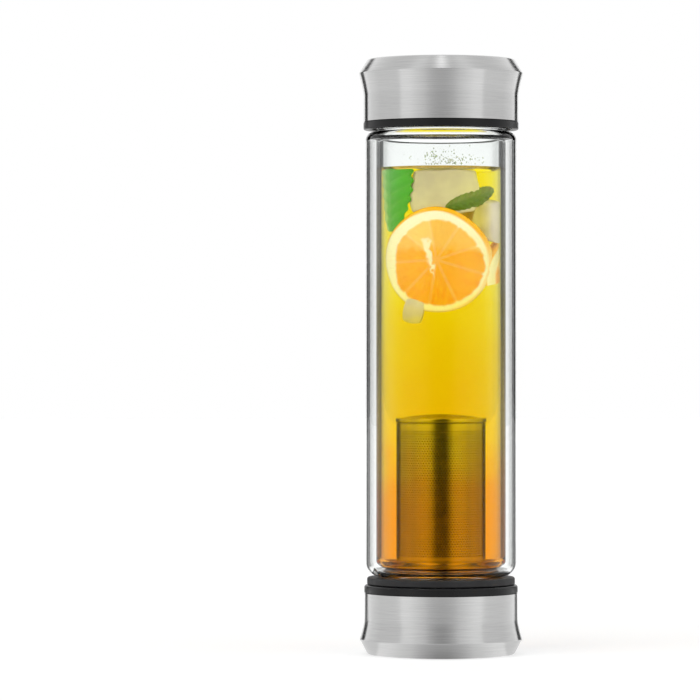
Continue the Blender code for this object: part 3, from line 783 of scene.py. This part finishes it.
fruit, fruit_shader = finish_of("citrus_flesh", (0.85, 0.5, 0.05), 0.25)
fibres = add(fruit, "ShaderNodeAttribute", attribute_name="fibres").outputs["Vector"]
parts = channels_of(fruit, "parts")
juice = mixed(fruit, grain(fruit, fibres, 1.0, 4, softness=0.6), (0.95, 0.33, 0.0), (1.0, 0.56, 0.02), "RGBA")
# The blue channel paints the flesh paler above the middle of the slice: painted light from above
flesh_with_painted_light = mixed(fruit, parts["Blue"], juice, (0.98, 0.68, 0.22), "RGBA")
with_pith = mixed(fruit, parts["Red"], (1.0, 0.97, 0.9), flesh_with_painted_light, "RGBA")
tinted(fruit, fruit_shader, parts["Green"], with_pith, (0.98, 0.5, 0.0))
bumped(fruit, fruit_shader, grain(fruit, fibres, 1.0, 5, softness=0.6), 0.2, strength=0.4)
fruit_shader.inputs["Subsurface Weight"].default_value = 0.2
fruit_shader.inputs["Subsurface Radius"].default_value = (0.003, 0.0015, 0.0004)


def slice_of(name, azimuth, height, radius, inward, segments, turned_by, start, end, pith_and_highlight, seed):
    """A slice bent along the bore's wall, from one angle to another. The argument after end is the share of
    white in the stripe across its middle, part pith and part painted highlight.
    """
    rind, pith, skin, thickness, rings, column_degrees = 1.5, 3.0, 0.3, 2.6, 44, 1.8
    soft, crisp, rough_pitch, skin_shows, widest = 0.9, 0.5, 0.55, 0.1, 0.98
    core_turn = math.radians(110)
    core_aside, core_slant, core_half, core_low, core_high = 2.6, 0.14, 1.2, 9, 10.5
    proud, coarse, edge_drop, edge_width, broad_wobble, fine_wobble = 0.3, 0.1, 0.5, 0.8, 0.012, 0.008
    fibre_round, fibre_out, fibre_x, fibre_y, fibre_z = 38, 0.35, 77.3, 51.7, 9.1
    whole = end - start == 360
    columns = round((end - start) / column_degrees)
    points = columns if whole else columns + 1
    rough = random.Random(seed)
    widths = [rough.uniform(0.8, 1.2) for _ in range(segments)]
    bounds = [sum(widths[:place]) / sum(widths) for place in range(segments + 1)]
    shape = bmesh.new()
    grid = {}
    marks = []
    for side in (0, 1):
        for ring in range(rings + 1):
            for column in range(points):
                turn = math.radians(start + (end - start) * column / columns)
                reach = radius * ring / rings
                share = ((turn - math.radians(turned_by)) / (2 * math.pi)) % 1
                nearest = min(abs(share - bound) for bound in bounds) * 2 * math.pi * reach
                segment = sum(share >= bound for bound in bounds)
                upper = smooth((math.sin(turn - 0.25) + 0.5) / 0.8)
                outer = radius - rind - pith * (0.3 + 0.8 * upper)
                around = Vector((math.cos(turn), math.sin(turn), 0)) * reach
                ragged = noise.noise(around * rough_pitch + Vector((seed, 2.5, 7.5)))
                # White skins part the flesh, and a white stripe crosses the middle: part pith, part painted
                # highlight
                flesh = smooth((outer - reach + 0.5 * ragged) / soft)
                flesh *= 1 - skin_shows * (1 - smooth((nearest - skin) / crisp))
                flesh *= smooth((nearest + (outer - reach) * 0.9 - 0.5) / soft)
                aslant = reach * math.cos(turn - core_turn) + 1.5 * ragged
                beside = reach * math.sin(turn - core_turn) - core_aside
                beside = abs(beside + core_slant * aslant + 1.3 * ragged)
                pith_and_highlight_streak = smooth((core_half + 0.1 * aslant - beside) / soft)
                pith_and_highlight_streak *= smooth((aslant + core_low) / 6)
                flesh *= 1 - pith_and_highlight * pith_and_highlight_streak * smooth((core_high - aslant) / 2)
                skinned = smooth((reach - radius + rind * (1 + 0.6 * math.cos(turn - 0.7))) / crisp)
                skinned *= 0.4 + 0.6 * upper
                # Every third segment is painted palest, and only above the middle of the slice: painted light
                # from above
                pale = 0.95 if segment % 3 == 0 else 0.5
                pale *= smooth((math.sin(turn) * reach - 2 + 2 * ragged) / 5)
                # The flesh stands a little proud, and the rind's edge is rounded off
                crown = proud * flesh + coarse * noise.noise(around * 0.8 + Vector((seed, side, 0.5)))
                crown -= edge_drop * smooth((reach - radius + edge_width) / edge_width)
                depth = inward + (-crown if side == 0 else thickness + crown)
                wobble = 1 + broad_wobble * math.sin(2 * turn + seed) + fine_wobble * math.sin(5 * turn)
                along = reach * wobble * math.cos(turn)
                along = cling * math.asin(max(-widest, min(widest, along / cling)))
                spot = on_the_wall(azimuth, along, height + reach * wobble * math.sin(turn), depth)
                grid[side, ring, column] = shape.verts.new(spot)
                fibre = math.cos(turn) * fibre_round + fibre_x, math.sin(turn) * fibre_round + fibre_y
                marks.append((flesh, skinned, pale, (*fibre, reach * fibre_out + fibre_z)))
        for ring in range(rings):
            for column in range(columns):
                beyond = (column + 1) % columns if whole else column + 1
                corners = [(ring, column), (ring + 1, column), (ring + 1, beyond), (ring, beyond)]
                shape.faces.new(dict.fromkeys([grid[(side, *corner)] for corner in corners]))
    edge = [(rings, column) for column in range(points)]
    if not whole:
        edge += [(ring, columns) for ring in range(rings - 1, -1, -1)]
        edge += [(ring, 0) for ring in range(1, rings)]
    for place, here in enumerate(edge):
        beyond = edge[(place + 1) % len(edge)]
        shape.faces.new([grid[(0, *here)], grid[(1, *here)], grid[(1, *beyond)], grid[(0, *beyond)]])
    shape.verts.index_update()
    made = piece_of(name, shape, fruit, sharp=60)
    parts = made.data.color_attributes.new("parts", "FLOAT_COLOR", "POINT")
    lines = made.data.attributes.new("fibres", "FLOAT_VECTOR", "POINT")
    for place, (flesh, skinned, pale, fibre) in enumerate(marks):
        parts.data[place].color = (flesh, skinned, pale, 1)
        lines.data[place].vector = fibre
    shape = bmesh.new()
    shape.from_mesh(made.data)
    bmesh.ops.remove_doubles(shape, verts=shape.verts, dist=0.01 * MM)
    bmesh.ops.recalc_face_normals(shape, faces=shape.faces)
    shape.to_mesh(made.data)
    shape.free()
    made.data.shade_smooth()
    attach(made, "glass")


slice_of("citrus_slice", math.radians(-95.6), 165.3, 22.0, 0.5, 9, 20, 0, 360, 0.95, 3)
slice_of("citrus_half_slice", math.radians(0), 157.5, 16.5, 0.5, 9, 30, -5, 190, 0.0, 8)

# Mint: a leaf that hangs from the surface down the left wall, with puckered flesh between its veins, a
# toothed edge and one side painted paler as painted light, and a second leaf behind the ice, darkened to
# stand for the shade between the ice cubes: painted shade.
leaf_finish, leaf_shader = finish_of("mint_leaf", (0.1, 0.35, 0.01), 0.42)
veins_painted_light_and_shade = channels_of(leaf_finish, "veins_painted_light_and_shade")
# The red channel paints pale vein marks, and paints the side towards the edge of the glass paler as painted
# light
veined_and_painted_pale = mixed(leaf_finish, veins_painted_light_and_shade["Red"], (0.05, 0.4, 0.0), (0.42, 0.68, 0.26), "RGBA")
# The green channel darkens a leaf towards dark olive: painted shade
tinted(leaf_finish, leaf_shader, veins_painted_light_and_shade["Green"], veined_and_painted_pale, (0.1, 0.11, 0.0))
spot = own_spot(leaf_finish)
feed(leaf_finish, grain(leaf_finish, spot, 700, 3, 0.35, 0.55), leaf_shader.inputs["Roughness"])
bumped(leaf_finish, leaf_shader, grain(leaf_finish, spot, 1500, 4), 0.12, strength=0.6)
leaf_shader.inputs["Subsurface Weight"].default_value = 0.3
leaf_shader.inputs["Subsurface Radius"].default_value = (0.0006, 0.0015, 0.0003)


def leaf_of(name, azimuth, height, length, half_width, heading, depth, shown, painted_shade, seed):
    """A leaf along the bore's wall: its tip's height, its heading from upright, and the share shown."""
    long_steps, half_steps, teeth, sheet, under_surface, least_depth = 64, 18, 11, 0.35, 0.2, 0.1
    tooth_depth, midrib, side_vein, pucker_depth, cupped, waved, waves = 0.05, 0.35, 0.6, 0.5, 0.8, 0.3, 5
    vein_pale, painted_pale_side = 0.2, 0.9
    ahead = math.radians(heading)
    shape = bmesh.new()
    grid = {}
    marks = []
    for step in range(long_steps + 1):
        share = shown * step / long_steps
        for place in range(-half_steps, half_steps + 1):
            aside = place / half_steps
            outline = half_width * math.sin(math.pi * min(1, share * 0.95 + 0.001)) ** 0.5
            tooth = 1 + tooth_depth * math.sin(2 * math.pi * teeth * share) * abs(aside) ** 4
            across = outline * aside * tooth
            rib = abs((share * teeth * 0.8 - abs(aside) * 0.9) % 1 - 0.5) * 2
            vein = max(smooth(1 - abs(across) / midrib), side_vein * smooth((rib - 0.8) / 0.2))
            pucker = pucker_depth * (1 - rib) * (1 - abs(aside) ** 4) * smooth(abs(across) / 1.2)
            curl = cupped * aside * aside + waved * math.sin(share * waves + seed)
            # Pale vein marks, and a side painted paler as painted light seen through the edge of the glass
            marks.append(max(vein * vein_pale, painted_pale_side * smooth((0.05 - aside) / 0.5)))
            up = length * share
            along = across * math.cos(ahead) + up * math.sin(ahead)
            rise = up * math.cos(ahead) - across * math.sin(ahead)
            level = min(height + rise, TEA_TOP - under_surface)
            spot = on_the_wall(azimuth, along, level, max(least_depth, depth - pucker + curl))
            grid[step, place] = shape.verts.new(spot)
    for step in range(long_steps):
        for place in range(-half_steps, half_steps):
            corners = (step, place), (step, place + 1), (step + 1, place + 1), (step + 1, place)
            shape.faces.new([grid[corner] for corner in corners])
    made = piece_of(name, shape, leaf_finish, sharp=80)
    veins_and_painted_marks = made.data.color_attributes.new("veins_painted_light_and_shade", "FLOAT_COLOR", "POINT")
    for place, pale in enumerate(marks):
        veins_and_painted_marks.data[place].color = (pale, painted_shade, 0, 1)
    made.modifiers.new("sheet", "SOLIDIFY").thickness = sheet * MM
    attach(made, "glass")


leaf_of("mint_leaf_front", math.radians(-150), 177.4, 44.0, 12.5, 0, 0.5, 0.6, 0.0, 1)
# The far leaf is darkened to stand for the shade between the ice cubes: painted shade
leaf_of("painted_shade_leaf_behind_ice", math.radians(-87), 187.0, 28.0, 3.8, 74, 1.5, 1.0, 0.75, 4)

# Ice: cloudy cubes with melted edges, which float under the surface against the glass, and a chip lower
# down. Each is a cage drawn in by melting, then smoothed.
ice, ice_shader = finish_of("cloudy_ice", (0.93, 0.92, 0.88), 0.3)
ice_shader.inputs["Transmission Weight"].default_value = 0.22
ice_shader.inputs["IOR"].default_value = 1.06
ice_shader.inputs["Subsurface Weight"].default_value = 0.6
ice_shader.inputs["Subsurface Radius"].default_value = (0.004, 0.004, 0.004)
textured(
    ice, ice_shader, own_spot(ice), (60, 3, 0, 1, 0.7), (0.66, 0.62, 0.82), (0.9, 0.87, 1.0),
    (90, 2, 0.35, 0.6), (150, 3), 0.3, strength=0.3,
)


def ice_of(name, middle, size, spin, behind, seed):
    """A cube of ice, kept a little inside the bore and under the surface by melting."""
    cuts, ball, melted, dent, dent_pitch, room, under_surface = 9, 0.62, 0.42, 0.09, 0.13, 0.4, 0.3
    shape = bmesh.new()
    bmesh.ops.create_cube(shape, size=1)
    bmesh.ops.subdivide_edges(shape, edges=shape.edges, cuts=cuts, use_grid_fill=True)
    turn = Matrix.Rotation(math.radians(spin[2]), 3, "Z") @ Matrix.Rotation(math.radians(spin[0]), 3, "X")
    turn = turn @ Matrix.Rotation(math.radians(spin[1]), 3, "Y")
    for vert in shape.verts:
        spot = vert.co.lerp(vert.co.normalized() * ball, melted)
        spot = Vector([part * side for part, side in zip(spot, size)])
        spot *= 1 + dent * noise.noise(spot * dent_pitch + Vector((seed, 0, 0)))
        spot = turn @ spot + Vector(middle)
        reach = math.hypot(spot.x, spot.y)
        held = bore - room - behind * smooth((math.atan2(-spot.y, spot.x) - 0.6) / 0.2)
        if reach > held:
            spot.x *= held / reach
            spot.y *= held / reach
        spot.z = min(spot.z, TEA_TOP - under_surface)
        vert.co = spot * MM
    made = piece_of(name, shape, ice, sharp=80)
    softer = made.modifiers.new("melted", "SUBSURF")
    softer.levels = 2
    softer.render_levels = 2
    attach(made, "glass")


ice_of("ice_cube_large", (1.0, -14.0, 194.2), (26, 22, 18), (4, 0, -3), 1.8, 2)
ice_of("ice_cube_right", (18.5, -8.0, 182.5), (17, 17, 15), (20, 10, 30), 4.0, 5)
ice_of("ice_chip", (-11.4, -20.6, 144.0), (8, 5, 9), (0, 12, -30), 0, 9)

# Dew: small drops of water that cling to the bore just above the surface, where the ice cools the glass.
# Each is a ball flattened against the wall.
water, water_shader = finish_of("clear_water", (0.85, 0.93, 0.8), 0.0)
water_shader.inputs["Transmission Weight"].default_value = 1.0
water_shader.inputs["IOR"].default_value = 1.33
tinted(water, water_shader, grain(water, own_spot(water), 300, 2), (0.6, 0.75, 0.45), (0.95, 0.98, 0.93))
DROPS, DEW_AZIMUTH, DEW_WIDTH, DEW_RISE, DEW_REACH = 170, -88, 16, 1.6, 2.6
LEAST_DROP, LARGEST_DROP, FLATTENED, DROP_FILM = 0.12, 0.34, 0.5, 0.02
dew = random.Random(4)
shape = bmesh.new()
for _ in range(DROPS):
    turn = math.radians(dew.gauss(DEW_AZIMUTH, DEW_WIDTH))
    size = dew.uniform(LEAST_DROP, LARGEST_DROP)
    level = TEA_TOP + DEW_RISE + abs(dew.gauss(0, DEW_REACH))
    middle = Vector((math.cos(turn) * bore, math.sin(turn) * bore, level))
    outward = Vector((math.cos(turn), math.sin(turn), 0))
    for vert in bmesh.ops.create_icosphere(shape, subdivisions=2, radius=size)["verts"]:
        flat = vert.co - outward * vert.co.dot(outward) * FLATTENED
        vert.co = (flat + middle - outward * (size * FLATTENED + DROP_FILM)) * MM
drops = piece_of("dew_drops", shape, water, sharp=80)
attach(drops, "glass")

# Top seal: a milky silicone washer in the roof of the top cap, pressed on the upper lip of the glass.
# Stamped from sheet, with the dent of the lip in its underside.
washer_foot, washer_top, washer_radius = measured("top_cap_seal")
WASHER_WIDTH, LIP_DENT = 4.4, 0.25
washer_bore = washer_radius - WASHER_WIDTH
corners = [(washer_bore, washer_top, 0.3), (washer_radius, washer_top, 0.3)]
corners += [(washer_radius, washer_foot, 0.3), (tube_outside + 0.3, washer_foot)]
corners += [(tube_outside - 0.4, washer_foot + LIP_DENT, 0.3), (bore + 0.4, washer_foot + LIP_DENT, 0.3)]
corners += [(washer_bore, washer_foot + 0.1)]
washer = turned("top_washer", rounded(corners), clear_silicone)
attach(washer, "top_seal")
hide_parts("top_cap_seal")

# Top liner: a steel disc that faces the drink inside the top cap. Blanked from sheet, with pressed
# rings, and clipped inside the washer.
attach(liner("top_liner", "top_cap_liner", face_up=False), "top_liner")

# Top cap insert: the threaded moulding that screws onto the upper neck. Black plastic, with a flange
# that shows as a ring below the steel, and a rib that meets the shell's roof.
insert_foot, rib_top, top_flange_radius = measured("top_cap_inner")
TOP_FLANGE, TOP_WALL, TOP_WELL, ROOF_UNDER, TOP_RIB = 3.1, 31.7, 29.2, 240.1, 22.2
roof = ROOF_UNDER + MOULD_WALL
TOP_THREAD_START = upper_thread_start + GLASS_THREAD_CLEAR
corners = [(0, roof), (TOP_RIB - MOULD_WALL, roof, 0.4), (TOP_RIB - MOULD_WALL, rib_top, 0.3)]
corners += [(TOP_RIB, rib_top, 0.3), (TOP_RIB, roof, 0.4), (TOP_WALL, roof, 0.8)]
corners += [(TOP_WALL, insert_foot + TOP_FLANGE, 0.2), (top_flange_radius, insert_foot + TOP_FLANGE, 0.2)]
corners += [(top_flange_radius, insert_foot, 0.6), (TOP_WELL, insert_foot, 0.5)]
corners += rows(TOP_WELL, insert_foot + 1.2, ROOF_UNDER - 1.0)
corners += [(TOP_WELL, ROOF_UNDER, 0.4), (0, ROOF_UNDER)]
top_insert = turned(
    "top_insert",
    rounded(corners, closed=False),
    black_plastic,
    closed=False,
    steps=192,
    swell=threaded(TOP_WELL, WELL_THREAD_DEPTH, TOP_THREAD_START),
)
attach(top_insert, "top_cap")
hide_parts("top_cap_inner")

# Top cap shell: the drinking cap's steel pressing, glued over the insert. The same sheet and brushing as
# the base, with its wide end up.
top_foot, top_face, top_crease = measured("top_cap_shell")
TOP_SIDE, TOP_FACE, TOP_CREASE_DROP, TOP_FLARE = 32.6, 30.9, 5.9, 9.3
outside = cap_outline(top_foot, top_face, TOP_SIDE, top_crease, TOP_CREASE_DROP, TOP_FACE, TOP_FLARE)
top_shell = turned("top_shell", pressed(outside, -CAP_SHEET), cap_steel, closed=False)
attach(top_shell, "top_cap")
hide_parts("top_cap_shell")

# Stage: a white floor and surround, with the dark cards that a studio stands round glass to draw its
# edges, a soft dark panel in front for the metal, two soft lights, and the camera at eye level.
BRIGHTEST, FLOOR_HALF, FLOOR_SEEN_FROM, FLOOR_SUNK = 1.5, 6000, 30, 0.2


def stepped(made, value, stops):
    """A level that goes through the given stops, each a value and its level."""
    low, high = stops[0][0], stops[-1][0]
    greys = [((place - low) / (high - low), (level / BRIGHTEST,) * 3) for place, level in stops]
    return worked(made, "MULTIPLY", gradient(made, spread(made, value, low, high), greys), BRIGHTEST)


def studio(made, way):
    """How bright the surround is that way, for what the camera sees in metal and through glass."""
    parts = parts_of(made, way)
    rise = parts["Z"]
    steep = worked(made, "ABSOLUTE", rise)
    turn = worked(made, "ARCTAN2", parts["X"], worked(made, "MULTIPLY", parts["Y"], -1))
    turn = worked(made, "DEGREES", worked(made, "ABSOLUTE", turn))
    quarter = worked(made, "MODULO", worked(made, "ADD", turn, 45), 90)
    quarter = worked(made, "ABSOLUTE", worked(made, "SUBTRACT", quarter, 45))
    level_ray = stepped(made, steep, [(0, 1), (0.13, 1), (0.2, 0), (1, 0)])

    # Steel mirrors a grey panel in front, and a dark card behind each side
    round_stops = [(0, 0.46), (5, 0.54), (18, 0.62), (32, 0.74), (48, 0.9), (61, 0.93), (66, 0.72)]
    round_stops += [(104, 0.7), (128, 0.84), (138, 1.0), (180, 1.0)]
    rise_stops = [(-1, 0.04), (-0.84, 0.04), (-0.5, 0.6), (-0.22, 0.7), (-0.16, 0.47), (0.16, 0.47)]
    rise_stops += [(0.22, 0.42), (0.5, 0.24), (0.75, 0.6), (0.88, 1.45), (1, 1.2)]
    card_stops = [(0, 1), (141, 1), (142.5, 0.01), (157, 0.01), (158.5, 1), (180, 1)]
    off_front = stepped(made, turn, [(0, 0), (4, 0), (26, 1), (180, 1)])
    in_metal = mixed(made, off_front, stepped(made, rise, rise_stops), stepped(made, turn, round_stops))
    slanted = stepped(made, steep, [(0, 0), (0.4, 0), (0.48, 1), (1, 1)])
    in_metal = worked(made, "MULTIPLY", in_metal, mixed(made, slanted, stepped(made, turn, card_stops), 1.0))

    # Rays turned back inside the glass draw its dark edges, and a black card in front darkens the basket
    edge_stops = [(0, 1.0), (8, 1.0), (9.5, 0.03), (24.5, 0.03), (26, 0.45), (28.5, 0.45), (30, 0.03)]
    edge_stops += [(41, 0.03), (45, 0.1)]
    front_stops = [(0, 0.0), (12, 0.0), (34, 1.35), (60, 1.35), (80, 1), (180, 1)]
    tall_stops = [(-1, 1), (-0.3, 1), (-0.28, 0), (-0.14, 0), (-0.1, 1), (1, 1)]
    strong = stepped(made, turn, [(0, 0.3), (124, 0.3), (134, 1), (180, 1)])
    sides = mixed(made, worked(made, "MULTIPLY", level_ray, strong), 1.0, stepped(made, quarter, edge_stops))
    front = mixed(made, stepped(made, rise, tall_stops), 1.0, stepped(made, turn, front_stops))
    inside_glass = worked(made, "MULTIPLY", sides, front)

    through_stops = [(0, 1.0), (14, 1.0), (17, 0.85), (25, 0.85), (28, 1.0), (45, 1.0)]
    through_glass = mixed(made, level_ray, 1.0, stepped(made, quarter, through_stops))

    # Light through smooth glass counts as glossy too, so transmission is asked for first
    seen = add(made, "ShaderNodeLightPath")
    reflected = worked(made, "MINIMUM", seen.outputs["Glossy Depth"], 1)
    in_glass = mixed(made, reflected, through_glass, inside_glass)
    by_metal = mixed(made, seen.outputs["Is Glossy Ray"], 1.0, in_metal)
    return mixed(made, seen.outputs["Is Transmission Ray"], by_metal, in_glass)


def any_ray(made, *kinds):
    """1 for a ray of any of the given kinds, and 0 for others."""
    seen = add(made, "ShaderNodeLightPath")
    found = seen.outputs[kinds[0]]
    for kind in kinds[1:]:
        found = worked(made, "MAXIMUM", found, seen.outputs[kind])
    return found


FLOOR_PALE, FLOOR_GLOW, FLOOR_DARK, SURROUND = 0.8, 0.36, 0.05, 0.5
floor_finish, floor_shader = finish_of("pale_floor", (FLOOR_PALE,) * 3, 0.8)
outward = aimed(floor_finish, "SUBTRACT", own_spot(floor_finish), (0, 0, FLOOR_SEEN_FROM * MM))
outward = aimed(floor_finish, "NORMALIZE", outward)
mirrored = any_ray(floor_finish, "Is Glossy Ray", "Is Transmission Ray")
watched = any_ray(floor_finish, "Is Camera Ray", "Is Glossy Ray", "Is Transmission Ray")
glow = mixed(floor_finish, mirrored, FLOOR_GLOW, studio(floor_finish, outward))
feed(floor_finish, worked(floor_finish, "MULTIPLY", glow, watched), floor_shader.inputs["Emission Strength"])
floor_shader.inputs["Emission Color"].default_value = (1, 1, 1, 1)
tinted(floor_finish, floor_shader, mirrored, (FLOOR_PALE,) * 3, (FLOOR_DARK,) * 3)
shape = bmesh.new()
bmesh.ops.create_grid(shape, x_segments=2, y_segments=2, size=FLOOR_HALF * MM)
ground = piece_of("floor", shape, floor_finish)
ground.location.z = -FLOOR_SUNK * MM

scene = bpy.context.scene
scene.view_settings.view_transform = "Standard"
# Light reaches the fruit and the basket through a dozen faces of glass and tea
scene.cycles.max_bounces = 32
scene.cycles.transmission_bounces = 32
scene.cycles.transparent_max_bounces = 32
scene.cycles.blur_glossy = 0

world = bpy.data.worlds.new("studio")
scene.world = world
world.use_nodes = True
surround = world.node_tree.nodes["Background"]
seen = studio(world, add(world, "ShaderNodeTexCoord").outputs["Generated"])
watched = any_ray(world, "Is Camera Ray", "Is Glossy Ray", "Is Transmission Ray")
surround.inputs["Color"].default_value = (1, 1, 1, 1)
feed(world, mixed(world, watched, SURROUND, seen), surround.inputs["Strength"])


def soft_light(name, aside, up, strength, spread):
    """A wide soft light from one way, which lights surfaces and makes shadows but isn't mirrored."""
    light = bpy.data.lights.new(name, "SUN")
    light.energy = strength
    light.angle = math.radians(spread)
    made = bpy.data.objects.new(name, light)
    made.rotation_euler = (math.radians(90 - up), 0, math.radians(aside))
    made.visible_glossy = False
    scene.collection.objects.link(made)


soft_light("key_light", -35, 50, 0.9, 50)
soft_light("fill_light", 50, 40, 0.5, 60)

CAMERA_AWAY, CAMERA_ASIDE, CAMERA_HEIGHT = 1760, -38.3, 127.8
lens = bpy.data.cameras.new("camera")
lens.lens = 215
lens.sensor_width = 36
camera = bpy.data.objects.new("camera", lens)
camera.location = (CAMERA_ASIDE * MM, -CAMERA_AWAY * MM, CAMERA_HEIGHT * MM)
camera.rotation_euler = (math.radians(90), 0, 0)
scene.collection.objects.link(camera)
scene.camera = camera
